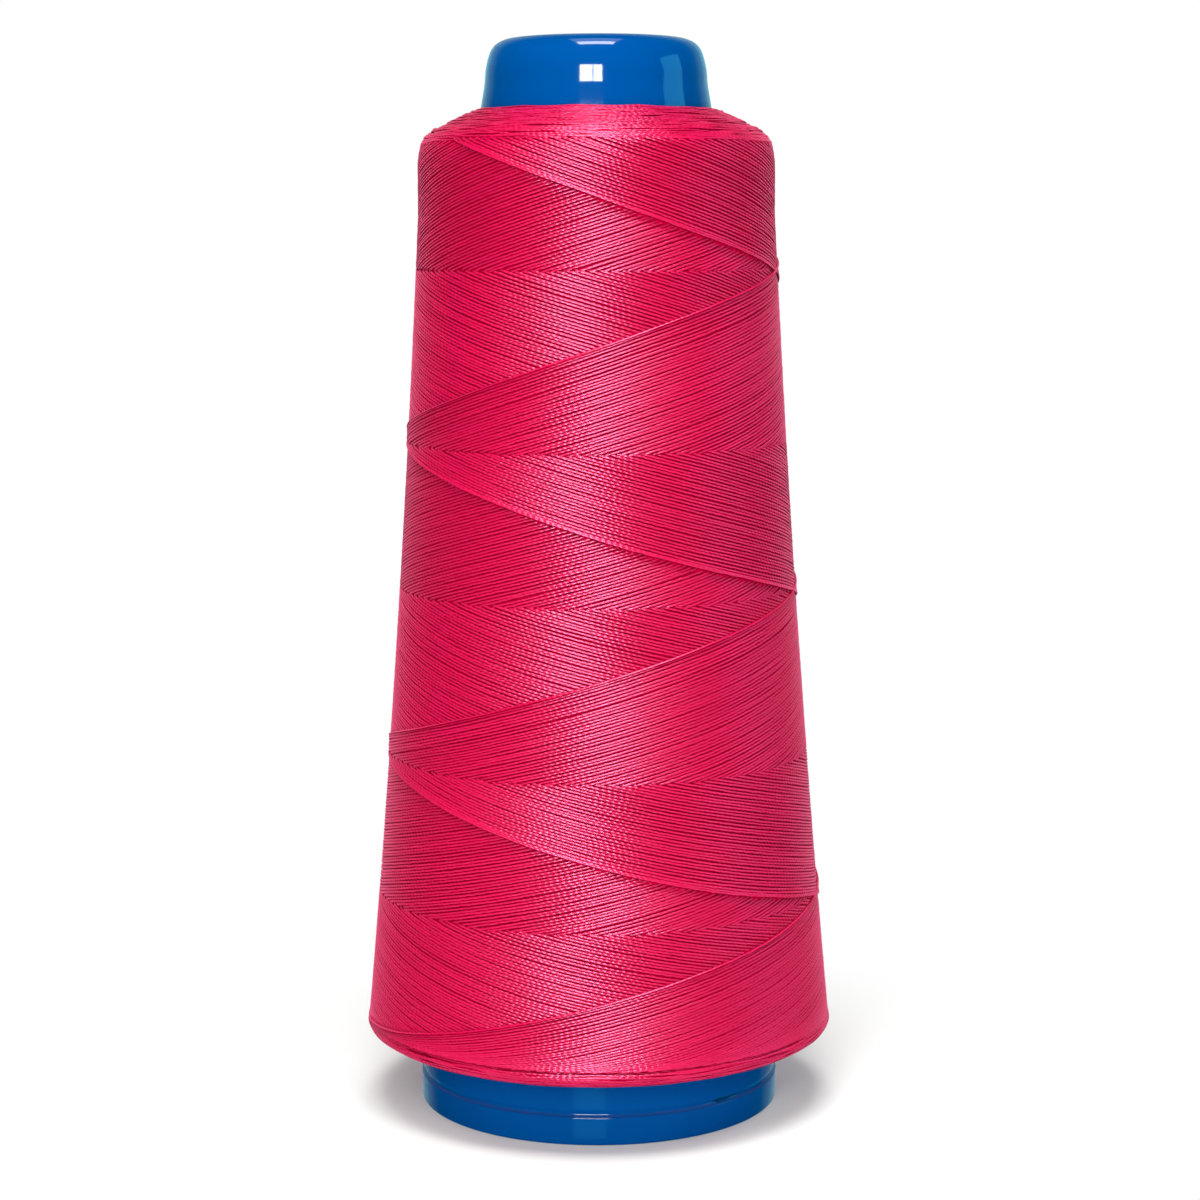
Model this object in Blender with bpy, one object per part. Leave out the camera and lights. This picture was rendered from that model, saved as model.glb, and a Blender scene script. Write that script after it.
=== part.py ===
"""A cone of cross-wound thread: a hollow tapered plastic tube with its thread package.

Metres, +Z up. The origin is the centre of the foot's underside, and the photograph looks along +Y.
Radii and heights below are in millimetres, as a drawing of the tube would give them.
"""

from math import cos, pi, radians, sin, tan

import bmesh
import bpy

MM = 0.001
TURN = 2 * pi
STEPS = 72  # facets round the axis
GAP = 0.3  # clearance between the tube and the thread

# Tube
HEIGHT = 170.2
WALL = 1.6
FOOT_RADIUS = 29.05
FOOT_HEIGHT = 4.55
FOOT_EDGE = 0.4  # rounding of the foot's lower outer edge
GROOVE_TOP = 5.45
GROOVE_DEPTH = 0.5
GROOVE_FLOOR = 0.16  # height of the groove's flat floor
TUBE_BASE_RADIUS = 28.8  # just above the groove
TUBE_TAPER = radians(3.945)
NOSE_START = 159.0  # height where the long taper ends and the nose begins
NOSE_FLARE = (17.85, 161.4)  # radius and height halfway up the flare above it
NOSE_WAIST = (17.5, 163.7)  # radius and height where the flare has run out
NOSE_SIDE = (17.3, 165.7)  # radius and height where the top rounding starts
NOSE_FLAT_RADIUS = 12.9
NOSE_THICKNESS = 2.2
SPINDLE_HOLE_RADIUS = 8.0
SPINDLE_HOLE_BEVEL = 0.8
CORNER_STEPS = 5

# Slit at the foot's groove that holds the thread's tail
SLIT_AZIMUTH = radians(45)  # from the front, towards +X
SLIT_LENGTH = 7.4
SLIT_HEIGHT = 0.5
SLIT_DEPTH = 1.3  # from the foot's outer radius
SLIT_WIDEST = 1.5  # distance from the slit's left end to where it is widest
SLIT_OVERHANG = 1.5  # how far the cutter stands out of the foot

# Thread package
WIND_BOTTOM = 11.4
WIND_MAX_RADIUS = 37.6
WIND_MAX_HEIGHT = 13.3
WIND_CREST_RADIUS = 28.2
WIND_CREST_HEIGHT = 143.0
WIND_HOLLOW = 0.7  # how far the side sinks below a straight taper, halfway up
LIP_RADIUS = 3.5  # horizontal reach of the rounding at the lower rim
SHOULDER = [(27.85, 153.4), (27.0, 154.9), (25.5, 156.1), (20.0, 158.7), (18.7, 159.2)]  # radius, height

# Main twists: where the leading edges of the rising and the falling thread cross, by turns on the left and
# right of the front. Fresh thread lies one layer prouder than the thread that it covers.
CROSSINGS = [10.8, 34.7, 58.95, 83.8, 108.5, 134.1, 160.0]
LEFT_CROSSING = radians(-95)
RIGHT_CROSSING = radians(77)
LAYER = 0.3
EDGE_HALF_HEIGHT = 0.3  # half the height of the bevel where a layer ends
EDGE_BEND = 0.2  # the edges are this much steeper halfway between two crossings
EDGE_LIMITS = (15.5, 151.5)  # the edges fade out towards these heights
EDGE_FADE = 6.0
CROSSING_WIDTH = radians(1)  # layers are level this close to a crossing


def clear_scene():
    for obj in list(bpy.data.objects):
        bpy.data.objects.remove(obj, do_unlink=True)


def finish(name, color, roughness):
    material = bpy.data.materials.new(name)
    material.use_nodes = True
    shader = material.node_tree.nodes["Principled BSDF"]
    shader.inputs["Base Color"].default_value = (*color, 1)
    shader.inputs["Roughness"].default_value = roughness
    shader.inputs["Metallic"].default_value = 0
    return material


def add_mesh(name, vertices, faces, material):
    """A smooth-shaded object from vertices in millimetres."""
    mesh = bpy.data.meshes.new(name)
    mesh.from_pydata([(x * MM, y * MM, z * MM) for x, y, z in vertices], [], faces)
    mesh.materials.append(material)
    mesh.polygons.foreach_set("use_smooth", [True] * len(mesh.polygons))
    obj = bpy.data.objects.new(name, mesh)
    bpy.context.scene.collection.objects.link(obj)
    return obj


def face_outward(obj):
    shape = bmesh.new()
    shape.from_mesh(obj.data)
    bmesh.ops.recalc_face_normals(shape, faces=shape.faces)
    shape.to_mesh(obj.data)
    shape.free()


def turned(name, profile_at, material):
    """A closed body from a loop of (radius, height) points for each azimuth, measured from the front."""
    vertices = []
    for step in range(STEPS):
        azimuth = TURN * step / STEPS
        vertices += [(r * sin(azimuth), -r * cos(azimuth), z) for r, z in profile_at(azimuth)]
    count = len(vertices) // STEPS
    faces = []
    for step in range(STEPS):
        here = step * count
        there = (step + 1) % STEPS * count
        for row in range(count):
            above = (row + 1) % count
            faces.append((here + row, there + row, there + above, here + above))
    obj = add_mesh(name, vertices, faces, material)
    face_outward(obj)
    return obj


def tube_radius(z):
    """Outer radius of the tube's long taper."""
    return TUBE_BASE_RADIUS - (z - GROOVE_TOP) * tan(TUBE_TAPER)


def corner(center_r, center_z, size_r, size_z, start, end, steps=CORNER_STEPS):
    """Points on an elliptical arc, from the start angle to the end angle, both in degrees."""
    angles = [radians(start + (end - start) * i / steps) for i in range(steps + 1)]
    return [(center_r + size_r * cos(a), center_z + size_z * sin(a)) for a in angles]


def tube_outside():
    side_r, side_z = NOSE_SIDE
    foot = corner(FOOT_RADIUS - FOOT_EDGE, FOOT_EDGE, FOOT_EDGE, FOOT_EDGE, -90, 0, 2)
    middle = (FOOT_HEIGHT + GROOVE_TOP) / 2
    groove = [
        (FOOT_RADIUS, FOOT_HEIGHT - FOOT_EDGE / 2),
        (FOOT_RADIUS - FOOT_EDGE / 2, FOOT_HEIGHT),
        (FOOT_RADIUS - GROOVE_DEPTH, middle - GROOVE_FLOOR / 2),
        (FOOT_RADIUS - GROOVE_DEPTH, middle + GROOVE_FLOOR / 2),
        (TUBE_BASE_RADIUS, GROOVE_TOP),
    ]
    taper = [(tube_radius(z), z) for z in (WIND_BOTTOM, HEIGHT / 2, NOSE_START)]
    flare = [NOSE_FLARE, NOSE_WAIST]
    rim = corner(NOSE_FLAT_RADIUS, side_z, side_r - NOSE_FLAT_RADIUS, HEIGHT - side_z, 0, 90)
    return foot + groove + taper + flare + rim


def tube_inside():
    """From the spindle hole's top edge down to the foot's underside."""
    hole, bevel = SPINDLE_HOLE_RADIUS, SPINDLE_HOLE_BEVEL
    under = HEIGHT - NOSE_THICKNESS
    side_r, side_z = NOSE_SIDE
    flat = NOSE_FLAT_RADIUS - WALL / 2
    rim = [(hole + bevel, HEIGHT), (hole, HEIGHT - bevel), (hole, under)]
    nose = corner(flat, side_z, side_r - WALL - flat, under - side_z, 90, 0, 3)
    taper = [(tube_radius(z), z) for z in (NOSE_START, GROOVE_TOP)]
    side = [NOSE_WAIST] + taper + [(TUBE_BASE_RADIUS, 0.0)]
    return rim + nose + [(radius - WALL, z) for radius, z in side]


def add_slit(tube, material):
    """Cuts the slit into the groove's floor with a flat wedge, widest near its left end."""
    half, thick = SLIT_LENGTH / 2, SLIT_HEIGHT / 2
    outline = [(-half, 0), (SLIT_WIDEST - half, thick), (half, 0), (SLIT_WIDEST - half, -thick)]
    vertices = [(x, y, z) for y in (-SLIT_OVERHANG, SLIT_DEPTH) for x, z in outline]
    sides = [(i, (i + 1) % 4, (i + 1) % 4 + 4, i + 4) for i in range(4)]
    cutter = add_mesh("slit_cutter", vertices, sides + [(3, 2, 1, 0), (4, 5, 6, 7)], material)
    face_outward(cutter)
    radius = FOOT_RADIUS * MM
    cutter.rotation_euler = (0, 0, SLIT_AZIMUTH)
    cutter.location = (
        radius * sin(SLIT_AZIMUTH),
        -radius * cos(SLIT_AZIMUTH),
        (FOOT_HEIGHT + GROOVE_TOP) / 2 * MM,
    )
    cutter.hide_render = True
    cutter.display_type = "WIRE"
    cut = tube.modifiers.new("slit", "BOOLEAN")
    cut.operation = "DIFFERENCE"
    cut.solver = "EXACT"
    cut.object = cutter


def wound_radius(z):
    """Mean radius of the package's side: a taper that is a little hollow."""
    share = (WIND_CREST_HEIGHT - z) / (WIND_CREST_HEIGHT - WIND_MAX_HEIGHT)
    if share < 0:
        return WIND_CREST_RADIUS
    straight = WIND_CREST_RADIUS + (WIND_MAX_RADIUS - WIND_CREST_RADIUS) * share
    return straight - WIND_HOLLOW * 4 * share * (1 - share)


def winding_phase(azimuth):
    """Azimuth counted from the left crossing, stretched so that the right crossing is at half a turn."""
    front = RIGHT_CROSSING - LEFT_CROSSING
    past = (azimuth - LEFT_CROSSING) % TURN
    if past < front:
        return pi * past / front
    return pi + pi * (past - front) / (TURN - front)


def edge_height(band, phase):
    """Height of the one leading edge between two crossings: it zigzags from one to the other and back."""
    low, high = CROSSINGS[band], CROSSINGS[band + 1]
    share = phase / pi if phase < pi else 2 - phase / pi
    share -= EDGE_BEND * sin(TURN * share) / TURN
    left, right = (low, high) if band % 2 == 0 else (high, low)
    keep = 2 * EDGE_HALF_HEIGHT
    height = min(max(left + (right - left) * share, low + keep), high - keep)
    return min(max(height, EDGE_LIMITS[0]), EDGE_LIMITS[1])


def layer_height(phase, since):
    """How proud the thread stands, which falls by two layers over one turn since its last crossing."""
    age = (phase - since) % TURN
    if min(age, TURN - age) < CROSSING_WIDTH:
        return 0.0
    return LAYER * (1 - 2 * age / TURN)


def winding_profile(azimuth):
    phase = winding_phase(azimuth)
    by_left, by_right = layer_height(phase, 0), layer_height(phase, pi)
    last = len(CROSSINGS) - 2
    rows = []
    for band in range(last + 1):
        z = edge_height(band, phase)
        to_end = min(z - EDGE_LIMITS[0], EDGE_LIMITS[1] - z)
        fade = min(1.0, to_end / EDGE_FADE) if band in (0, last) else 1.0
        below, above = (by_left, by_right) if band % 2 == 0 else (by_right, by_left)
        for height, layer in ((z - EDGE_HALF_HEIGHT, below), (z + EDGE_HALF_HEIGHT, above)):
            rows.append((wound_radius(height) + layer * fade, height))
    depth = WIND_MAX_HEIGHT - WIND_BOTTOM
    lip = corner(WIND_MAX_RADIUS - LIP_RADIUS, WIND_MAX_HEIGHT, LIP_RADIUS, depth, -90, 0)
    bore = [(tube_radius(z) + GAP, z) for z in (SHOULDER[-1][1] - GAP, WIND_BOTTOM)]
    return lip + rows + SHOULDER + bore


def main():
    clear_scene()
    blue = finish("blue_plastic", (0.0, 0.09, 0.40), 0.18)
    pink = finish("pink_thread", (0.69, 0.007, 0.08), 0.6)
    outline = tube_outside() + tube_inside()
    tube = turned("cone_tube", lambda azimuth: outline, blue)
    add_slit(tube, blue)
    turned("thread_winding", winding_profile, pink)


main()
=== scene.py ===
"""A cone of cross-wound thread on a glossy plastic tube, dressed for its photograph.

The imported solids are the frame. The tube is turned again with finer roundings, and the wound solid gives way
to a core and the thread itself: every strand that shows is a raised strip that follows its own helix.
Everything is in metres; sizes written in MM read like a drawing. Azimuth 0 is the front, towards -Y, and it
grows towards +X.
"""

import bpy
import numpy as np
from mathutils import Euler, Matrix


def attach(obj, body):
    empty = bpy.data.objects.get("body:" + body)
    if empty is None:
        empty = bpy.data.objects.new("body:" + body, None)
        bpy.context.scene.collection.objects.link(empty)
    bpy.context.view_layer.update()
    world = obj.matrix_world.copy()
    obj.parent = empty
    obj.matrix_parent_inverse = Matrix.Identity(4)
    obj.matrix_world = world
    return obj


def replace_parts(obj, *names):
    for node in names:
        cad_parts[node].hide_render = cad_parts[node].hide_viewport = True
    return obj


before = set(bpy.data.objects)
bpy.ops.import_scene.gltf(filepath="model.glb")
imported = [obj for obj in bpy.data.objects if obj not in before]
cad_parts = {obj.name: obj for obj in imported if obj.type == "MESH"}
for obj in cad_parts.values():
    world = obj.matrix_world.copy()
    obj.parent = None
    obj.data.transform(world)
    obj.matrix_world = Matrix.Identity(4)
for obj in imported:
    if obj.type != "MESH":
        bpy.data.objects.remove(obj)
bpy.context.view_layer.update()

MM = 0.001
PI = np.pi
TURN = 2 * np.pi
RNG = np.random.default_rng(27)

# Tube, in the solid's sizes but with finer roundings at the foot, the groove and the nose
HEIGHT = 170.2 * MM
WALL = 1.6 * MM
FOOT_RADIUS = 29.05 * MM
FOOT_EDGE = 0.5 * MM
FOOT_HEIGHT = 4.55 * MM
GROOVE_TOP = 5.45 * MM
GROOVE_DEPTH = 0.5 * MM
# The groove's floor from below to above: how far out of its deepest line, and height from its middle
GROOVE_FLOOR = np.array([(0.04, -0.14), (0.0, 0.0), (0.03, 0.12)]) * MM
LEDGE_EDGE = 0.3 * MM  # rounding of the foot's upper edge
TUBE_BASE_RADIUS = 28.8 * MM
TUBE_TAPER = np.radians(3.945)
NOSE_START = 158.35 * MM
# The nose from the top of the long taper over the rounding to the flat top: radius, height
NOSE = [(18.262, 158.75), (18.02, 160.3), (17.82, 161.5), (17.63, 162.6), (17.51, 163.6), (17.44, 164.6)]
NOSE += [(17.35, 165.4), (17.20, 166.2), (16.98, 167.1), (16.68, 168.0), (16.30, 168.7), (15.80, 169.25)]
NOSE = np.array(NOSE + [(15.15, 169.68), (14.40, 169.98), (13.60, 170.14), (12.80, 170.2)]) * MM
NOSE_FLAT_RADIUS = 12.8 * MM
NOSE_SIDE = (17.3 * MM, 165.7 * MM)  # radius and height where the rounding inside starts
NOSE_THICKNESS = 2.2 * MM
SPINDLE_HOLE_RADIUS = 8.0 * MM
SPINDLE_HOLE_BEVEL = 0.8 * MM
TUBE_STEPS = 240  # round the axis

# Slit in the groove for the thread's tail
SLIT_AZIMUTH = np.radians(45)
SLIT_LENGTH = 7.4 * MM
SLIT_HEIGHT = 0.5 * MM
SLIT_DEPTH = 1.3 * MM  # from the foot's outer radius
SLIT_WIDEST = 1.5 * MM  # distance from the slit's left end to where it is widest
SLIT_OVERHANG = 1.5 * MM  # how far the cutter stands out of the foot

# Thread package
CROSSINGS = np.array([10.8, 34.7, 58.95, 83.8, 108.5, 134.1, 160.0]) * MM
LEFT_CROSSING = np.radians(-95)
RIGHT_CROSSING = np.radians(77)
WIND_BOTTOM = 11.4 * MM
WIND_MAX_RADIUS = 37.6 * MM
WIND_MAX_HEIGHT = 13.3 * MM
LIP_RADIUS = 3.5 * MM
WIND_CREST_RADIUS = 28.2 * MM
WIND_CREST_HEIGHT = 143.0 * MM
WIND_HOLLOW = 0.7 * MM  # how far the side sinks below a straight taper, halfway up
SHOULDER_BEND = 150.0 * MM  # the side starts to turn in above this height
CREST_HEIGHT = 154.1 * MM  # the wound side ends here and the shoulder begins
CREST_INWARD = 0.6 * MM  # how far the side has turned in there
SHOULDER = np.array([(27.5, 154.1), (27.0, 154.9), (25.5, 156.1), (20.0, 158.7), (18.6, 159.2)]) * MM
LAYER = 0.42 * MM  # how much prouder fresh thread lies than the thread that it covers
EDGE_BEND = 0.2  # the leading edges are this much steeper halfway between two crossings
BEND_FADE = 1.3  # in radians of age, how soon the strands behind an edge straighten
BORE_GAP = 0.3 * MM  # clearance between the tube and the thread
CORE_STEPS = 240  # round the axis
CORE_ROWS = 130  # up the side
CORE_SUNK = 0.3 * MM  # how deep the core lies below the wound form
CORE_FADE = 4 * MM  # the core's layers fade out over this height at both ends

# Thread
STRANDS = 99  # strands side by side in one pitch of the helix
STRAND_HALF_WIDTH = 0.255 * MM
STRAND_HALF_HEIGHT = 0.18 * MM
PLY_PITCH = 0.92 * MM  # distance along the thread from one ply to the next
SECTION = np.radians([-80, -50, -18, 18, 50, 80])  # where a strand's strip has its points, from its ridge
STRAND_STEP = 1.9 * MM / (32 * MM)  # in radians, 1.9 mm at the mean radius
STRANDS_LOW = 12.2 * MM  # the strands of the side start above this height
STRANDS_HIGH = CREST_HEIGHT + 0.2 * MM
DIVE = 0.42 * MM  # how deep a strand sinks where others cover it
SINK = 0.3 * MM  # how deep the rising strands behind the leader sink on their way under the falling edge
PROUD = 0.1 * MM  # how much higher the strands at a leading edge lie
TILT, EDGE_TILT = 16, 30  # degrees that the strips face upwards, and how much more at a rising edge
# The rest of the strands' sizes are in radians of the helix.
LEFT_BIAS = 0.2  # how far the seam lies below a crossing at the left
SEAM_JITTER = 0.014  # spread of the places where single strands come out
SEAM_OVERLAP = 0.07  # how far a strand goes on under the others, at the seam and at the leading edge
EDGE_OVERLAP = 0.07
SHORTEST = 0.04  # shorter strands are left out
SEAM_FADE = 0.05  # a strand rises over this length out of the seam
RISING_OUT, FALLING_OUT = 0.05, -0.01  # how far past the seam it has come out fully
LEADER_END = 0.06  # a rising leader dives over this last length
LEADER_DIVE = 1.5  # by this many times the usual depth
LEADER_CLIMB = 0.14  # and before that it climbs over the falling edge
SINK_START, SINK_LENGTH = 0.11, 0.09  # where the others sink: how far before that edge, over what length
PROUD_FADE, TILT_FADE = 0.05, 0.04  # the age over which the height and the tilt at an edge wear off
END_FADE = 0.05  # strands dive over this length at the rim and at the shoulder
# Steps between strands that stand out: the age, and how much wider or narrower the step is there
RISING_GAPS = [(0.0, -0.25), (0.06, -0.2), (0.12, -0.15), (0.5, 0.12), (4.3, 0.16), (4.75, 0.2), (5.2, 0.16)]
FALLING_GAPS = [(0.0, -0.25), (0.06, -0.2), (0.12, -0.15), (1.1, 0.1), (2.9, 0.12), (4.4, 0.12)]

# Colours
# the thread's two tones, mixed by tone that varies at random and by the painted highlight and shade of the
# plies
THREAD_LIGHT = (0.67, 0.0008, 0.067, 1)
THREAD_SHADE = (0.49, 0.0004, 0.044, 1)
# painted shade: the deeper crimson of the grooves where two strands meet
THREAD_PAINTED_GROOVE_SHADE = (0.56, 0.0001, 0.038, 1)

# Softboxes: azimuth, elevation, distance, width, height, watts, whether they show in reflections, and the
# colour of those that aren't white
LIGHTS = {
    "front_left": (-10.0, 17.7, 0.63, 0.134, 0.145, 1.25, True),
    "front_right": (1.8, 17.7, 0.63, 0.092, 0.145, 0.86, True),
    "front_high": (-11, 46, 1.3, 0.5, 0.4, 4.6, False),
    "front_low": (-6, -6, 0.5, 0.3, 0.06, 0.85, False),
    "front_floor": (-6, -18, 0.62, 0.2, 0.3, 0.09, True, (0.08, 0.8, 1.0)),
    "overhead": (0, 69, 0.9, 0.41, 0.25, 3.6, True),
    "overhead_wide": (0, 86, 0.9, 0.42, 0.42, 0.8, True),
    "overhead_fill": (-4, 74, 0.9, 0.5, 0.4, 5.1, False),
    "left_fill": (-142, 10, 1.4, 0.9, 0.9, 9.5, False),
    "right_fill": (140, 10, 1.4, 0.9, 0.9, 17.5, False),
    "right_card": (87, 19.3, 1.0, 0.45, 0.29, 0.68, True, (0.1, 0.78, 1.0)),
}
AMBIENT = 0.032  # light from all round on matt surfaces
BACKDROP = 0.4  # light from behind
BACKDROP_EDGE = 0.6  # the backdrop fades in from here to 1 along a ray's +Y
FLOOR_GLOW = 0.08  # light that the matt floor gives off itself
FLOOR_FADE_START = 0.042  # metres from the axis, where the floor starts to turn white
FLOOR_FADE = 20.0  # and how fast, per metre


# ---------------------------------------------------------------- shapes


def smoothstep(x):
    """0 below 0, 1 above 1, and the cubic 3x2 - 2x3 between."""
    x = np.clip(x, 0, 1)
    return x * x * (3 - 2 * x)


def arc(center_r, center_z, size_r, size_z, start, end, steps):
    """Points of an elliptical arc in the plane of radius and height, angles in degrees."""
    a = np.radians(np.linspace(start, end, steps + 1))
    return np.column_stack([center_r + size_r * np.cos(a), center_z + size_z * np.sin(a)])


def smooth_line(points, steps):
    """A smooth line through points: between neighbours a cubic of the distance along them, with a slope at
    each point that is the mean of the slopes on both sides."""
    at = np.concatenate([[0], np.cumsum(np.linalg.norm(np.diff(points, axis=0), axis=1))])
    slopes = np.gradient(points, at, axis=0)
    x = np.linspace(0, at[-1], steps + 1)
    i = np.clip(np.searchsorted(at, x, side="right") - 1, 0, len(at) - 2)
    gap = (at[i + 1] - at[i])[:, None]
    t = (x - at[i])[:, None] / gap
    rise = smoothstep(t) * (points[i + 1] - points[i])
    return points[i] + rise + gap * t * (1 - t) * (slopes[i] * (1 - t) - slopes[i + 1] * t)


def make_piece(name, vertices, faces, material, uv=None, tint=None):
    """A smooth-shaded mesh that rides on the root body. uv and tint are given for each vertex."""
    mesh = bpy.data.meshes.new(name)
    mesh.vertices.add(len(vertices))
    mesh.vertices.foreach_set("co", np.asarray(vertices, np.float32).ravel())
    mesh.loops.add(faces.size)
    mesh.loops.foreach_set("vertex_index", faces.astype(np.int32).ravel())
    mesh.polygons.add(len(faces))
    mesh.polygons.foreach_set("loop_start", np.arange(len(faces), dtype=np.int32) * faces.shape[1])
    mesh.polygons.foreach_set("use_smooth", np.ones(len(faces), bool))
    if uv is not None:
        layer = mesh.uv_layers.new(name="UVMap")
        layer.data.foreach_set("uv", uv[faces.ravel()].astype(np.float32).ravel())
    if tint is not None:
        layer = mesh.attributes.new("tint", "FLOAT", "POINT")
        layer.data.foreach_set("value", tint.astype(np.float32))
    mesh.update()
    mesh.validate()
    mesh.materials.append(material)
    piece = bpy.data.objects.new(name, mesh)
    bpy.context.scene.collection.objects.link(piece)
    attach(piece, "root")
    return piece


def grid_faces(columns, rows):
    """Quads of a grid that closes on itself both round the axis and along the profile."""
    column, row = np.meshgrid(np.arange(columns), np.arange(rows), indexing="ij")
    next_column, next_row = (column + 1) % columns, (row + 1) % rows
    corners = [
        column * rows + row,
        next_column * rows + row,
        next_column * rows + next_row,
        column * rows + next_row,
    ]
    return np.stack(corners, axis=-1).reshape(-1, 4)


def tube_radius(z):
    """Outer radius of the tube's long taper."""
    return TUBE_BASE_RADIUS - (z - GROOVE_TOP) * np.tan(TUBE_TAPER)


def round_axis(radius, height, azimuth):
    """Points at a radius, height and azimuth."""
    return np.stack([radius * np.sin(azimuth), -radius * np.cos(azimuth), height + 0 * azimuth], axis=-1)


# ---------------------------------------------------------------- winding


def wound_radius(z):
    """Mean radius of the side: a taper that sinks by a parabola halfway, and turns in below the crest."""
    share = np.clip((WIND_CREST_HEIGHT - z) / (WIND_CREST_HEIGHT - WIND_MAX_HEIGHT), 0, 1.1)
    side = WIND_CREST_RADIUS + (WIND_MAX_RADIUS - WIND_CREST_RADIUS) * share
    side = side - WIND_HOLLOW * 4 * share * (1 - share)
    over = np.maximum(z - SHOULDER_BEND, 0) / (CREST_HEIGHT - SHOULDER_BEND)
    return side - CREST_INWARD * over**2


def azimuth_of(phase):
    """Azimuth of a winding phase, which is 0 at the left crossing and half a turn at the right one."""
    front = RIGHT_CROSSING - LEFT_CROSSING
    turns = np.floor(phase / TURN)
    past = phase - turns * TURN
    front_part = LEFT_CROSSING + front * past / PI
    back_part = RIGHT_CROSSING + (TURN - front) * (past - PI) / PI
    return np.where(past < PI, front_part, back_part) + turns * TURN


def phase_of(azimuth):
    """The winding phase of an azimuth, the reverse of azimuth_of."""
    front = RIGHT_CROSSING - LEFT_CROSSING
    past = np.mod(azimuth - LEFT_CROSSING, TURN)
    return np.where(past < front, PI * past / front, PI + PI * (past - front) / (TURN - front))


LEVELS = PI * np.arange(len(CROSSINGS))


def height_of(level):
    """Height at which a helix has climbed by this many radians, straight between crossings and flatter
    towards the lower rim, where the thread turns back."""
    z = np.interp(level, LEVELS, CROSSINGS)
    floor, soft = 13.9 * MM, 1.3 * MM
    return z + soft * np.log1p(np.exp((floor - z) / soft))


def level_of(z):
    """The level at a height, straight between crossings."""
    return np.interp(z, CROSSINGS, LEVELS)


def layer_relief(rising_age, falling_age):
    """The package stands one layer proud where both threads are fresh, and sinks by a layer for each turn
    of age that they have between them."""
    return LAYER * (1 - (rising_age + falling_age) / TURN)


def near_crossing(phase):
    """How much of a layer's height is left at a phase: under half at a crossing, all of it further off."""
    off = abs(np.mod(phase + PI / 2, PI) - PI / 2)
    return 0.4 + 0.6 * smoothstep(off / 0.6)


def strand_ages(gaps):
    """Ages of the strands of one family, in radians behind the leading edge. Their steps vary a little, and
    each pair in gaps is an age and how much wider the step is there."""
    steps = 1 + 0.07 * RNG.standard_normal(STRANDS)
    ages = np.cumsum(steps) * TURN / steps.sum()
    for age, wider in gaps:
        steps[np.argmin(abs(ages - age))] += wider
    ages = np.concatenate([[0.0], np.cumsum(steps) * TURN / steps.sum()])[:-1]
    return np.concatenate([ages, TURN + ages[:3]])


def phase_at(level, age, bend):
    """Phase where a strand reaches a level: level = phase - age - bend / 2 * sin(2 phase), solved by
    repeating phase = level + age + bend / 2 * sin(2 phase)."""
    phase = level + age
    for _ in range(8):
        phase = level + age + bend / 2 * np.sin(2 * phase)
    return phase


def sample_paths(start, end, step):
    """For each path from start to end, evenly spaced samples at most step apart, all in one array. Returns
    the path index and the parameter of each sample."""
    count = np.maximum(4, np.ceil((end - start) / step).astype(int) + 1)
    path = np.repeat(np.arange(len(count)), count)
    first = np.cumsum(count) - count
    share = (np.arange(len(path)) - first[path]) / (count - 1)[path]
    return path, start[path] + (end - start)[path] * share


def sweep(name, path, points, normals, material, size=1.0):
    """Strips with a half-round section carried along many paths at once: each sample gets the section's
    points at half the width * sin(a) sideways and the height * cos(a) outwards, both times its size. The UV
    map holds millimetres along the thread and the place across it from -1 to 1, and tint is one number a
    strand."""
    last = len(path) - 1
    index = np.arange(len(path))
    following = np.where(path[np.minimum(index + 1, last)] == path, np.minimum(index + 1, last), index)
    previous = np.where(path[np.maximum(index - 1, 0)] == path, np.maximum(index - 1, 0), index)
    tangent = points[following] - points[previous]
    side = np.cross(normals, tangent)
    side /= np.linalg.norm(side, axis=1, keepdims=True)
    size = np.broadcast_to(size, len(path))[:, None, None]
    across = STRAND_HALF_WIDTH * size * np.sin(SECTION)[:, None] * side[:, None, :]
    out = STRAND_HALF_HEIGHT * size * np.cos(SECTION)[:, None] * normals[:, None, :]
    vertices = (points[:, None, :] + across + out).reshape(-1, 3)
    links = index[following != index]
    across_count = len(SECTION)
    column = np.arange(across_count - 1)
    here = links[:, None] * across_count + column
    there = here + across_count
    faces = np.stack([here, there, there + 1, here + 1], axis=-1).reshape(-1, 4)
    run = np.cumsum(np.linalg.norm(points - points[previous], axis=1))
    starts = np.unique(path, return_index=True)[1]
    along = (run - run[starts][np.searchsorted(path[starts], path)]) / MM
    offset = RNG.uniform(0, 50, path.max() + 1)
    tint = RNG.uniform(0, 1, path.max() + 1)
    uv = np.empty((len(path), across_count, 2))
    uv[..., 0] = (along + offset[path])[:, None]
    uv[..., 1] = np.linspace(-1, 1, across_count)
    tints = np.repeat(tint[path], across_count)
    return make_piece(name, vertices, faces, material, uv.reshape(-1, 2), tints)


def level_limits(direction):
    """The levels between which the side's strands lie. The falling family counts its levels downwards."""
    low, high = level_of(STRANDS_LOW), level_of(STRANDS_HIGH)
    return (low, high) if direction > 0 else (-high, -low)


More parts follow.
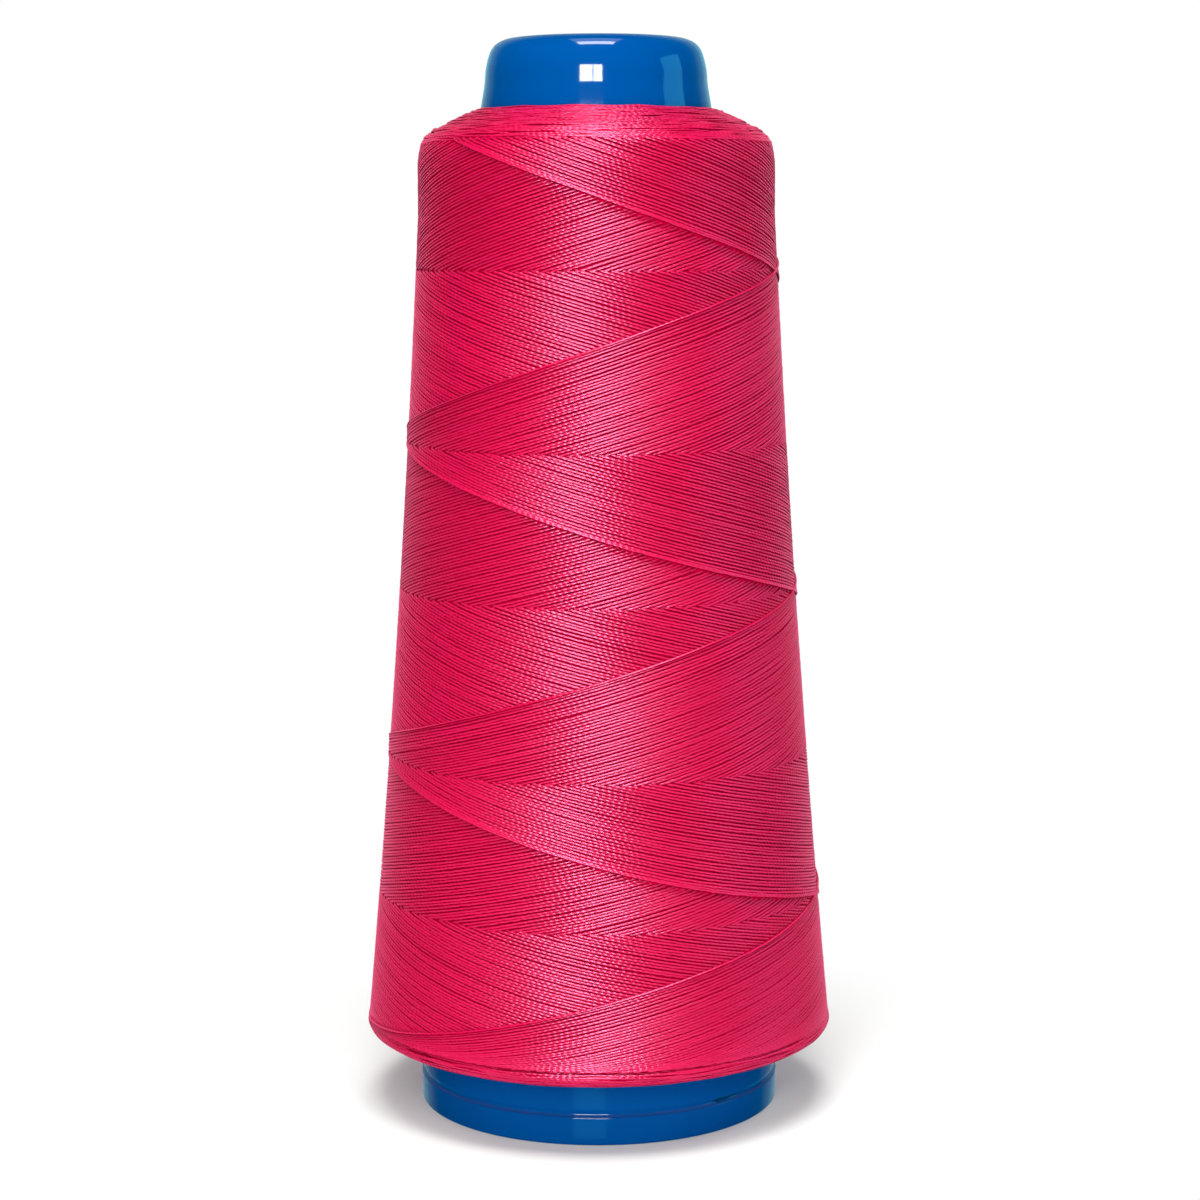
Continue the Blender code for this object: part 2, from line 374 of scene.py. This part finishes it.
def strand_spans(direction, gaps):
    """Where one family of strands shows. A strand of some age follows level = phase - age - bend / 2 *
    sin(2 phase). Between two crossings it runs from the seam, where it comes out from under the other family,
    to the other family's leading edge, where 2 phase = 2 PI (band + 1) + age + (sum of both bends) / 2 *
    sin(2 phase). Returns each strand's age, band, bend, seam, whether it leads, and its first and last
    phase."""
    bands = np.arange(len(CROSSINGS) - 1)
    bands = bands if direction > 0 else -1 - bands
    ages = strand_ages(gaps)
    age, band = (grid.ravel() for grid in np.meshgrid(ages, bands))
    leader = np.tile(np.arange(len(ages)) == 0, len(bands))
    bend = EDGE_BEND * np.exp(-np.mod(age, TURN + 0.01) / BEND_FADE)
    jitter = SEAM_JITTER * RNG.standard_normal(len(age))
    seam = PI * band - direction * LEFT_BIAS * (band % 2 == 0) + jitter
    double = TURN * (band + 1) + age
    for _ in range(8):
        double = TURN * (band + 1) + age + (EDGE_BEND + bend) / 2 * np.sin(double)
    low, high = level_limits(direction)
    start = np.maximum(phase_at(seam - SEAM_OVERLAP, age, bend), phase_at(low, age, bend))
    end = np.minimum(double / 2 + EDGE_OVERLAP, phase_at(high, age, bend))
    keep = end - start > SHORTEST
    return [values[keep] for values in (age, band, bend, seam, leader, start, end)]


def wound_strands(name, direction, gaps, material):
    """One family of strands, rising (+1) or falling (-1) with azimuth. Each lies on the wound form by its
    layer, dives at its ends, and wavers a little by three sines. The rising leader climbs over the falling
    edge before it dives, and the rising strands behind it sink on their way under that edge."""
    rising = direction > 0
    spans = strand_spans(direction, gaps)
    first, last = spans[5:]
    path, phase = sample_paths(first, last, STRAND_STEP)
    age, band, bend, seam, leader, _, last = (values[path] for values in spans)
    level = phase - age - bend / 2 * np.sin(2 * phase)
    other = TURN + level + phase - TURN * (band + 1) - EDGE_BEND / 2 * np.sin(2 * phase)  # the other's age
    flat = near_crossing(phase)
    leads = leader & rising

    out = RISING_OUT if rising else FALLING_OUT
    dive = smoothstep((out - (level - seam)) / SEAM_FADE)
    dive = np.where(leads, LEADER_DIVE * smoothstep(1 - (last - phase) / LEADER_END), dive)
    low, high = level_limits(direction)
    dive = np.maximum(dive, smoothstep(1 - np.minimum(level - low, high - level) / END_FADE))
    climb = LAYER * smoothstep((other - TURN + LEADER_CLIMB) / LEADER_CLIMB)
    relief = layer_relief(age, other) * flat + np.where(leads, climb, 0) * flat
    sink = SINK * flat * smoothstep((other - TURN + SINK_START) / SINK_LENGTH) * (~leads & rising)

    wave = RNG.uniform(0, TURN, (2, path.max() + 1))[:, path]
    level = level + 0.004 * np.sin(5.3 * phase + wave[0]) + 0.003 * np.sin(13.7 * phase + wave[1])
    lift = relief - STRAND_HALF_HEIGHT - DIVE * dive + 0.012 * MM * np.sin(7.9 * phase + wave[1])
    lift = lift - sink + PROUD * np.exp(-age / PROUD_FADE) * flat
    z = height_of(direction * level)
    azimuth = azimuth_of(phase)
    points = round_axis(wound_radius(z) + lift, z, azimuth)
    tilt = np.radians(TILT + EDGE_TILT * rising * np.exp(-age / TILT_FADE))
    normals = round_axis(np.cos(tilt), np.sin(tilt), azimuth)
    size = (1 + 0.05 * RNG.standard_normal(path.max() + 1))[path]
    return sweep(name, path, points, normals, material, size)


class Profile:
    """A line of (radius, height) points, read at a distance along it, with its outward normal."""

    def __init__(self, points):
        self.points = np.asarray(points)
        self.at = np.concatenate([[0], np.cumsum(np.linalg.norm(np.diff(self.points, axis=0), axis=1))])
        self.length = self.at[-1]

    def place(self, s):
        return np.interp(s, self.at, self.points[:, 0]), np.interp(s, self.at, self.points[:, 1])

    def normal(self, s):
        reach = 0.4 * MM
        r0, z0 = self.place(s - reach)
        r1, z1 = self.place(s + reach)
        long = np.hypot(r1 - r0, z1 - z0)
        return (z1 - z0) / long, (r0 - r1) / long


def turning_strands(name, profile, material, count, span, bow, lean, layers, radius, step):
    """Strands where the thread turns back: each is a bowed arc round the axis, s = s0 - bow * t2 + lean * t
    with a small wave, t in radians from its middle and up to a random span either way. It lies at a random
    depth within layers, and its ends dive. Samples are a step apart at the radius."""
    middle = RNG.uniform(0, TURN, count)
    half = RNG.uniform(*span, count)
    s0 = profile.length * (np.arange(count) + RNG.uniform(0, 1, count)) / count
    bow = RNG.uniform(*bow, count)
    lean = RNG.uniform(-lean, lean, count)
    depth = RNG.uniform(*layers, count)
    wave = RNG.uniform(0, TURN, (2, count))
    path, t = sample_paths(-half, half, step / radius)
    s = s0[path] - bow[path] * t**2 + lean[path] * t
    s = s + 0.10 * MM * np.sin(9 * t + wave[0][path]) + 0.06 * MM * np.sin(23 * t + wave[1][path])
    s = np.clip(s, 0, profile.length)
    dive = smoothstep((abs(t) / half[path] - 0.8) / 0.2)
    lift = depth[path] + 0.05 * MM * np.sin(13 * t + wave[1][path]) - 0.5 * MM * dive - STRAND_HALF_HEIGHT
    azimuth = middle[path] + t
    r, z = profile.place(s)
    normal_r, normal_z = profile.normal(s)
    points = round_axis(r + lift * normal_r, z + lift * normal_z, azimuth)
    return sweep(name, path, points, round_axis(normal_r, normal_z, azimuth), material)


def core_piece(material):
    """The body of thread under the strands that show: the wound form with its layers, sunk by most of a
    strand, round a bore that follows the tube. Rows run over the lip, up the side and over the shoulder to
    the bore."""
    side_z = np.linspace(WIND_MAX_HEIGHT + 0.5 * MM, CREST_HEIGHT, CORE_ROWS)
    azimuth = TURN * np.arange(CORE_STEPS) / CORE_STEPS
    phase = phase_of(azimuth)[:, None] - EDGE_BEND / 2 * np.sin(2 * phase_of(azimuth))[:, None]
    level = level_of(side_z)[None, :]
    relief = layer_relief(np.mod(phase - level, TURN), np.mod(phase + level, TURN)) * near_crossing(phase)
    fade = smoothstep((side_z - WIND_MAX_HEIGHT) / CORE_FADE)
    fade = fade * smoothstep((CREST_HEIGHT - side_z) / CORE_FADE)
    side_r = wound_radius(side_z) + relief * fade - CORE_SUNK
    reach, depth = LIP_RADIUS - 0.5 * CORE_SUNK, WIND_MAX_HEIGHT - WIND_BOTTOM - 0.5 * CORE_SUNK
    lip = arc(WIND_MAX_RADIUS - LIP_RADIUS, WIND_MAX_HEIGHT, reach, depth, -90, 0, 8)
    top = SHOULDER - [0, 0.5 * CORE_SUNK]
    bore = [(tube_radius(z) + BORE_GAP, z) for z in (SHOULDER[-1, 1] - CORE_SUNK, WIND_BOTTOM + CORE_SUNK)]
    lip, top, bore = (np.broadcast_to(part, (CORE_STEPS, len(part), 2)) for part in (lip, top, bore))
    side = np.stack([side_r, np.broadcast_to(side_z, side_r.shape)], axis=-1)
    rows = np.concatenate([lip, side, top, bore], axis=1)
    vertices = round_axis(rows[..., 0], rows[..., 1], azimuth[:, None]).reshape(-1, 3)
    faces = grid_faces(CORE_STEPS, rows.shape[1])
    return make_piece("thread_core", vertices, faces, material)


# ---------------------------------------------------------------- tube


def tube_outline():
    """The closed line of radius and height that is turned to the tube, from the foot's underside up the
    outside and down the inside."""
    side_r, side_z = NOSE_SIDE
    edge = FOOT_EDGE
    middle = (FOOT_HEIGHT + GROOVE_TOP) / 2
    floor_r = FOOT_RADIUS - GROOVE_DEPTH
    foot = arc(FOOT_RADIUS - edge, edge, edge, edge, -90, 0, 5)
    ledge = arc(FOOT_RADIUS - LEDGE_EDGE, FOOT_HEIGHT - LEDGE_EDGE, LEDGE_EDGE, LEDGE_EDGE, 0, 80, 6)
    groove = GROOVE_FLOOR + [floor_r, middle]
    base = TUBE_BASE_RADIUS
    above = [(base - 0.05 * MM, GROOVE_TOP - 0.05 * MM), (base, GROOVE_TOP + 0.1 * MM)]
    side = [(tube_radius(z), z) for z in np.linspace(6 * MM, NOSE_START, 12)]
    nose = smooth_line(NOSE, 48)
    hole, bevel = SPINDLE_HOLE_RADIUS, SPINDLE_HOLE_BEVEL
    under = HEIGHT - NOSE_THICKNESS
    mouth = arc(hole + bevel, HEIGHT - bevel, bevel, bevel, 90, 180, 5)
    flat = NOSE_FLAT_RADIUS - WALL / 2
    inside = arc(flat, side_z, side_r - WALL - flat, under - side_z, 90, 0, 6)
    wall_r = TUBE_BASE_RADIUS - WALL
    back = [(tube_radius(NOSE_START) - WALL, NOSE_START), (wall_r, GROOVE_TOP), (wall_r, 0)]
    return np.concatenate([foot, ledge, groove, above, side, nose, mouth, [(hole, under)], inside, back])


def tube_piece(material):
    """The turned tube, with the slit cut by a wedge that is as long and high as the solid's."""
    outline = tube_outline()
    azimuth = TURN * np.arange(TUBE_STEPS)[:, None] / TUBE_STEPS
    vertices = round_axis(outline[None, :, 0], outline[None, :, 1], azimuth).reshape(-1, 3)
    faces = grid_faces(TUBE_STEPS, len(outline))
    piece = make_piece("cone_tube_turned", vertices, faces, material)
    half, thick, widest = SLIT_LENGTH / 2, SLIT_HEIGHT / 2, SLIT_WIDEST - SLIT_LENGTH / 2
    line = np.array([(-half, 0), (widest, thick), (half, 0), (widest, -thick)])
    ends = [np.column_stack([line[:, 0], np.full(4, y), line[:, 1]]) for y in (-SLIT_OVERHANG, SLIT_DEPTH)]
    turn = Matrix.Rotation(SLIT_AZIMUTH, 3, "Z")
    place = round_axis(FOOT_RADIUS, (FOOT_HEIGHT + GROOVE_TOP) / 2, SLIT_AZIMUTH)
    corners = np.concatenate(ends) @ np.array(turn).T + place
    faces = [(i, (i + 1) % 4, (i + 1) % 4 + 4, i + 4) for i in range(4)] + [(3, 2, 1, 0), (4, 5, 6, 7)]
    cutter_mesh = bpy.data.meshes.new("slit_cutter")
    cutter_mesh.from_pydata(corners.tolist(), [], faces)
    cutter = bpy.data.objects.new("slit_cutter", cutter_mesh)
    bpy.context.scene.collection.objects.link(cutter)
    cut = piece.modifiers.new("slit", "BOOLEAN")
    cut.operation, cut.solver, cut.object = "DIFFERENCE", "EXACT", cutter
    made = bpy.data.meshes.new_from_object(piece.evaluated_get(bpy.context.evaluated_depsgraph_get()))
    piece.modifiers.clear()
    piece.data = made
    bpy.data.objects.remove(cutter, do_unlink=True)
    return piece


# ---------------------------------------------------------------- materials


class Value:
    """A number that varies over a surface. Python's operators add the Math nodes."""

    def __init__(self, shader, socket):
        self.shader, self.socket = shader, socket

    def math(self, operation, *values):
        return self.shader.node("ShaderNodeMath", {"operation": operation}, dict(enumerate(values)))

    def __add__(self, other):
        return self.math("ADD", self, other)

    def __sub__(self, other):
        return self.math("SUBTRACT", self, other)

    def __rsub__(self, other):
        return self.math("SUBTRACT", other, self)

    def __mul__(self, other):
        return self.math("MULTIPLY", self, other)

    def __pow__(self, other):
        return self.math("POWER", self, other)

    __radd__, __rmul__ = __add__, __mul__

    def part(self, number):
        """One of a vector's three numbers."""
        return self.shader.node("ShaderNodeSeparateXYZ", {}, {0: self}, number)

    def sin(self):
        return self.math("SINE", self)

    def abs(self):
        return self.math("ABSOLUTE", self)

    def clamp(self, low=0.0, high=1.0):
        return self.math("MINIMUM", self.math("MAXIMUM", self, low), high)


class Shader:
    """A material under construction. node adds one node: its type, its settings, then its sockets by name or
    number, each a value or the result of another node."""

    def __init__(self, name):
        self.material = bpy.data.materials.new(name)
        self.material.use_nodes = True
        self.tree = self.material.node_tree
        self.surface = self.tree.nodes["Principled BSDF"]

    def plug(self, socket, value):
        if isinstance(value, Value):
            self.tree.links.new(value.socket, socket)
        else:
            socket.default_value = value

    def node(self, kind, settings=None, inputs=None, output=0):
        made = self.tree.nodes.new(kind)
        for name, value in (settings or {}).items():
            setattr(made, name, value)
        for name, value in (inputs or {}).items():
            self.plug(made.inputs[name], value)
        return Value(self, made.outputs[output])

    def mix(self, factor, first, second):
        sockets = {0: factor, 6: first, 7: second}
        return self.node("ShaderNodeMix", {"data_type": "RGBA"}, sockets, 2)

    def noise(self, vector, scale, detail=2.0):
        return self.node("ShaderNodeTexNoise", {}, {"Vector": vector, "Scale": scale, "Detail": detail})

    def bump(self, height, distance, strength=1.0):
        sockets = {"Height": height, "Distance": distance, "Strength": strength}
        return self.node("ShaderNodeBump", {}, sockets)

    def blend(self, factor, first, second):
        """Two surfaces, each a dictionary of its sockets, mixed by a factor."""
        for name, value in first.items():
            self.plug(self.surface.inputs[name], value)
        other = self.node("ShaderNodeBsdfPrincipled", {}, second)
        own = Value(self, self.surface.outputs[0])
        mixed = self.node("ShaderNodeMixShader", {}, {0: factor, 1: own, 2: other})
        self.tree.links.new(mixed.socket, self.tree.nodes["Material Output"].inputs["Surface"])
        return self.material

    def finish(self, **inputs):
        for name, value in inputs.items():
            self.plug(self.surface.inputs[name.replace("_", " ")], value)
        return self.material


def rgb(red, green, blue):
    return (red, green, blue, 1.0)


def thread_material():
    """Plied thread: slanted ridges from the plies, painted shade where two strands meet, a painted highlight
    and shade along the plies, and a little tone from strand to strand and along each one. A strand's ridge
    is glossy, and its sides have a satin finish."""
    shader = Shader("plied_thread")
    uv = shader.node("ShaderNodeUVMap", {"uv_map": "UVMap"})
    along, across = uv.part(0), uv.part(1)
    tint = shader.node("ShaderNodeAttribute", {"attribute_name": "tint"}, {}, 2)
    ply = (along * (TURN * MM / PLY_PITCH) + across * 1.9).sin() * 0.5 + 0.5
    fleck = shader.noise(uv, 1.8)
    place = shader.node("ShaderNodeTexCoord", {}, {}, 3)
    broad = shader.noise(place, 60.0)
    # painted highlight and shade along the plies (ply), mixed with tone that varies at random (tint, fleck,
    # broad)
    shade = (ply * 0.3 + tint * 0.2 + fleck * 0.25 + broad * 0.3 - 0.02).clamp()
    color = shader.mix(shade, THREAD_SHADE, THREAD_LIGHT)
    line = shader.node("ShaderNodeVectorMath", {"operation": "MULTIPLY"}, {0: uv, 1: (0.55, 0.0, 0.0)})
    wander = (shader.noise(line, 1.0, 1.0) - 0.5) * 0.7
    # painted shade: towards a strand's sides the colour turns to the deeper crimson of the grooves between
    # strands; the same mask also mixes the glossy ridge into the satin sides
    groove = ((across + wander).abs() ** 2.0 * 3.6 - 0.2).clamp()
    color = shader.mix(groove, color, THREAD_PAINTED_GROOVE_SHADE)
    normal = shader.bump(ply + fleck * 0.2, 0.036 * MM)
    ridge = {
        "Base Color": color,
        "Roughness": 0.3,
        "IOR": 1.85,
        "Specular IOR Level": 1.0,
        "Specular Tint": rgb(0.6, 0.5, 0.83),
        "Sheen Weight": 0.35,
        "Sheen Roughness": 0.35,
        "Sheen Tint": rgb(1.0, 0.13, 0.35),
        "Normal": normal,
    }
    side = {
        "Base Color": color,
        "Roughness": 0.48,
        "Metallic": 0.85,
        "Specular IOR Level": 0.0,
        "Sheen Weight": 0.3,
        "Sheen Roughness": 0.35,
        "Sheen Tint": rgb(1.0, 0.1, 0.3),
        "Normal": normal,
    }
    return shader.blend(groove, ridge, side)


def core_material():
    """The thread below, painted darker as the shade of what lies on it."""
    shader = Shader("thread_below")
    place = shader.node("ShaderNodeTexCoord", {}, {}, 3)
    fine = shader.noise(place, 1500.0)
    # painted shade: darker than the strands that lie on it
    color = shader.mix(fine, rgb(0.34, 0.0002, 0.024), rgb(0.50, 0.0005, 0.038))
    normal = shader.bump(fine, 0.1 * MM)
    return shader.finish(Base_Color=color, Roughness=0.8, Specular_IOR_Level=0.0, Normal=normal)


def plastic_material():
    """Glossy moulded plastic with a faint ripple and fine handling marks that run round it."""
    shader = Shader("glossy_plastic")
    place = shader.node("ShaderNodeTexCoord", {}, {}, 3)
    stretch = shader.node("ShaderNodeMapping", {}, {"Vector": place, "Scale": (60.0, 60.0, 900.0)})
    marks = shader.noise(stretch, 1.0, 3.0)
    ripple = shader.noise(place, 45.0, 1.0)
    color = shader.mix(ripple, rgb(0.0, 0.051, 0.213), rgb(0.0, 0.058, 0.238))
    rough = 0.042 + marks * 0.05
    return shader.finish(
        Base_Color=color,
        Roughness=rough,
        Specular_IOR_Level=0.62,
        Sheen_Weight=0.28,
        Sheen_Roughness=0.3,
        Sheen_Tint=rgb(0.02, 0.8, 1.0),
        Normal=shader.bump(ripple + marks * 0.02, 0.12 * MM, 0.5),
    )


# ---------------------------------------------------------------- studio


def make_floor():
    """A matt floor that takes soft shadows near the cone and fades to the white of the backdrop."""
    mesh = bpy.data.meshes.new("floor")
    half = 6.0
    corners = [(-half, -half, 0), (half, -half, 0), (half, half, 0), (-half, half, 0)]
    mesh.from_pydata(corners, [], [(0, 1, 2, 3)])
    shader = Shader("pale_floor")
    place = shader.node("ShaderNodeTexCoord", {}, {}, 3)
    distance = shader.node("ShaderNodeVectorMath", {"operation": "LENGTH"}, {0: place}, 1)
    camera_ray = shader.node("ShaderNodeLightPath")
    away = ((distance - FLOOR_FADE_START) * FLOOR_FADE).clamp() * camera_ray
    white, black = rgb(1, 1, 1), rgb(0, 0, 0)
    matt = shader.mix(camera_ray, rgb(0.9, 0.9, 0.9), rgb(0.655, 0.668, 0.65))
    near = {"Base Color": matt, "Roughness": 0.9, "Specular IOR Level": 0.0}
    near.update({"Emission Color": white, "Emission Strength": FLOOR_GLOW})
    far = {"Base Color": black, "Specular IOR Level": 0.0, "Emission Color": white, "Emission Strength": 1.0}
    mesh.materials.append(shader.blend(away, near, far))
    floor = bpy.data.objects.new("floor", mesh)
    bpy.context.scene.collection.objects.link(floor)
    floor.visible_glossy = False


def make_world():
    """White for the camera, and for other rays a white backdrop behind the cone, in a dim room."""
    world = bpy.data.worlds.new("studio")
    bpy.context.scene.world = world
    world.use_nodes = True
    nodes, links = world.node_tree.nodes, world.node_tree.links
    nodes.clear()
    rays = nodes.new("ShaderNodeLightPath")
    out = nodes.new("ShaderNodeOutputWorld")

    def even(strength):
        light = nodes.new("ShaderNodeBackground")
        light.inputs["Color"].default_value = (1, 1, 1, 1)
        light.inputs["Strength"].default_value = strength
        return light.outputs[0]

    def choose(ray, otherwise, there):
        mix = nodes.new("ShaderNodeMixShader")
        links.new(rays.outputs[ray], mix.inputs[0])
        links.new(otherwise, mix.inputs[1])
        links.new(there, mix.inputs[2])
        return mix.outputs[0]

    def add(first, second):
        both = nodes.new("ShaderNodeAddShader")
        links.new(first, both.inputs[0])
        links.new(second, both.inputs[1])
        return both.outputs[0]

    direction = nodes.new("ShaderNodeTexCoord")
    split = nodes.new("ShaderNodeSeparateXYZ")
    links.new(direction.outputs["Generated"], split.inputs[0])
    ramp = nodes.new("ShaderNodeMapRange")
    links.new(split.outputs[1], ramp.inputs["Value"])
    ramp.inputs["From Min"].default_value, ramp.inputs["From Max"].default_value = BACKDROP_EDGE, 1.0
    behind = nodes.new("ShaderNodeBackground")
    links.new(ramp.outputs[0], behind.inputs["Color"])
    behind.inputs["Strength"].default_value = BACKDROP
    unseen = add(behind.outputs[0], choose("Is Glossy Ray", even(AMBIENT), even(0.0)))
    links.new(choose("Is Camera Ray", unseen, even(1.0)), out.inputs[0])


def softbox(name, azimuth, elevation, distance, width, height, power, reflected, color=(1.0, 1.0, 1.0)):
    """A rectangular light that faces the middle of the cone from an azimuth and an elevation, in degrees."""
    light = bpy.data.lights.new(name, "AREA")
    light.shape = "RECTANGLE"
    light.size, light.size_y = width, height
    light.energy, light.color = power, color
    lamp = bpy.data.objects.new(name, light)
    bpy.context.scene.collection.objects.link(lamp)
    a, e = np.radians(azimuth), np.radians(elevation)
    lamp.rotation_euler = Euler((PI / 2 - e, 0, a))
    away = np.array([np.sin(a) * np.cos(e), -np.cos(a) * np.cos(e), np.sin(e)])
    lamp.location = away * distance + np.array([0, 0, HEIGHT * 0.55])
    lamp.visible_camera = False
    lamp.visible_glossy = reflected


def make_lights():
    for name, settings in LIGHTS.items():
        softbox(name, *settings)


def make_camera():
    """The photograph's viewpoint, from the ellipse of the foot and the horizon. The focal length and the
    shift to the side are in pixels of a frame 1200 pixels wide."""
    focal, shift, frame_size = 2787.0, -2.4, 1200
    place = (0, -445.2 * MM, 140.46 * MM)
    data = bpy.data.cameras.new("camera")
    data.sensor_width = 36.0
    data.lens = focal / frame_size * data.sensor_width
    camera = bpy.data.objects.new("camera", data)
    bpy.context.scene.collection.objects.link(camera)
    tilt, roll, yaw = np.radians(7.562), np.radians(-0.165), shift / focal
    turn = Euler((PI / 2 - tilt, 0, yaw)).to_matrix() @ Matrix.Rotation(roll, 3, "Z")
    camera.matrix_world = Matrix.Translation(place) @ turn.to_4x4()
    bpy.context.scene.camera = camera


def main():
    thread = thread_material()
    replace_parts(tube_piece(plastic_material()), "cone_tube")
    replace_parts(core_piece(core_material()), "thread_winding")
    wound_strands("thread_rising", 1, RISING_GAPS, thread)
    wound_strands("thread_falling", -1, FALLING_GAPS, thread)
    turning_strands(
        "thread_shoulder", Profile(SHOULDER), thread, count=400, span=(0.35, 1.1), bow=(0.2 * MM, 1.4 * MM),
        lean=0.8 * MM, layers=(-0.12 * MM, 0.2 * MM), radius=22 * MM, step=1.1 * MM,
    )
    turning_strands(
        "thread_crest", Profile(SHOULDER[:2] + [0, -0.1 * MM]), thread, count=16, span=(0.8, 2.0),
        bow=(0, 0.1 * MM), lean=0.15 * MM, layers=(0.0, 0.15 * MM), radius=27 * MM, step=1.2 * MM,
    )
    depth = WIND_MAX_HEIGHT - WIND_BOTTOM
    lip = arc(WIND_MAX_RADIUS - LIP_RADIUS, WIND_MAX_HEIGHT, LIP_RADIUS, depth, 24, -90, 12)
    rim = np.concatenate([lip, [(29.5 * MM, WIND_BOTTOM)]])[::-1]
    turning_strands(
        "thread_rim", Profile(rim), thread, count=230, span=(0.7, 2.2), bow=(-0.1 * MM, 0.1 * MM),
        lean=0.35 * MM, layers=(-0.03 * MM, 0.14 * MM), radius=36 * MM, step=1.6 * MM,
    )
    make_floor()
    make_world()
    make_lights()
    make_camera()
    bpy.context.scene.view_settings.view_transform = "Standard"


main()
